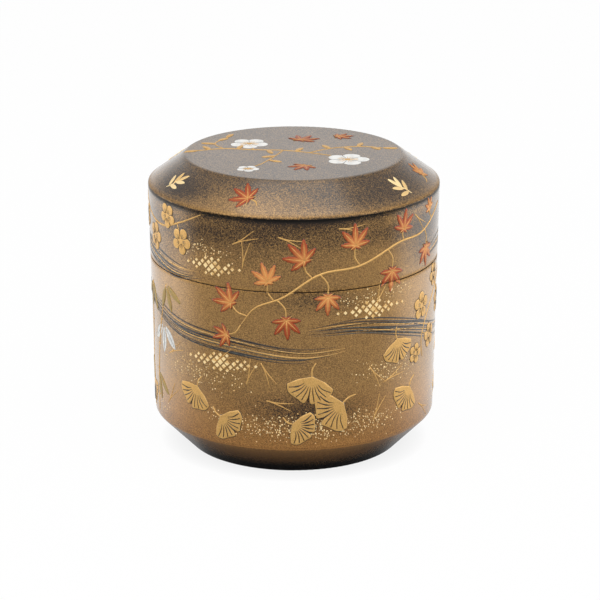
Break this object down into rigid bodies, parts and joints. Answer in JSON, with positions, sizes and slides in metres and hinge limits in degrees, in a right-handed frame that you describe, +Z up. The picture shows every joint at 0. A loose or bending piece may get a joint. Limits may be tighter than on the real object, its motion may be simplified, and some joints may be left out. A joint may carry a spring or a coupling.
{
  "type": "tea caddy",
  "caption": "Bevelled cylindrical tea caddy of lacquered turned wood, a deep cup with a standing collar and a lid that lifts off it, for powdered tea.",
  "frame": {"origin": "centre of the base, on the surface that the caddy stands on", "axes": "+Z up along the turning axis, with the pictured side facing -Y"},
  "size_m": [0.068, 0.068, 0.0696],
  "materials": {
    "turned_wood": "turned, bare under the lacquer",
    "gold_dust_lacquer": "polished dark lacquer sprinkled with gold dust",
    "black_lacquer": "polished",
    "flaked_lacquer": "polished amber lacquer over fine gold flakes",
    "cut_gold": "burnished sheet",
    "silver": "satin silver sheet",
    "shell": "polished white shell"
  },
  "bodies": {
    "cup": {"cup_core": "turned_wood", "cup_wall_lacquer": "gold_dust_lacquer", "cup_collar_lacquer": "black_lacquer", "cup_lining_lacquer": "flaked_lacquer", "cup_base_lacquer": "black_lacquer", "cup_gold_squares": "cut_gold", "cup_silver_leaves": "silver"},
    "lid": {"lid_core": "turned_wood", "lid_outer_lacquer": "gold_dust_lacquer", "lid_lining_lacquer": "flaked_lacquer", "lid_gold_squares": "cut_gold", "lid_shell_blossoms": "shell"}
  },
  "joints": [
    {"name": "lid_lift", "type": "slide", "parent": "cup", "child": "lid", "axis": [0, 0, 1], "range_m": [0, 0.06]}
  ]
}
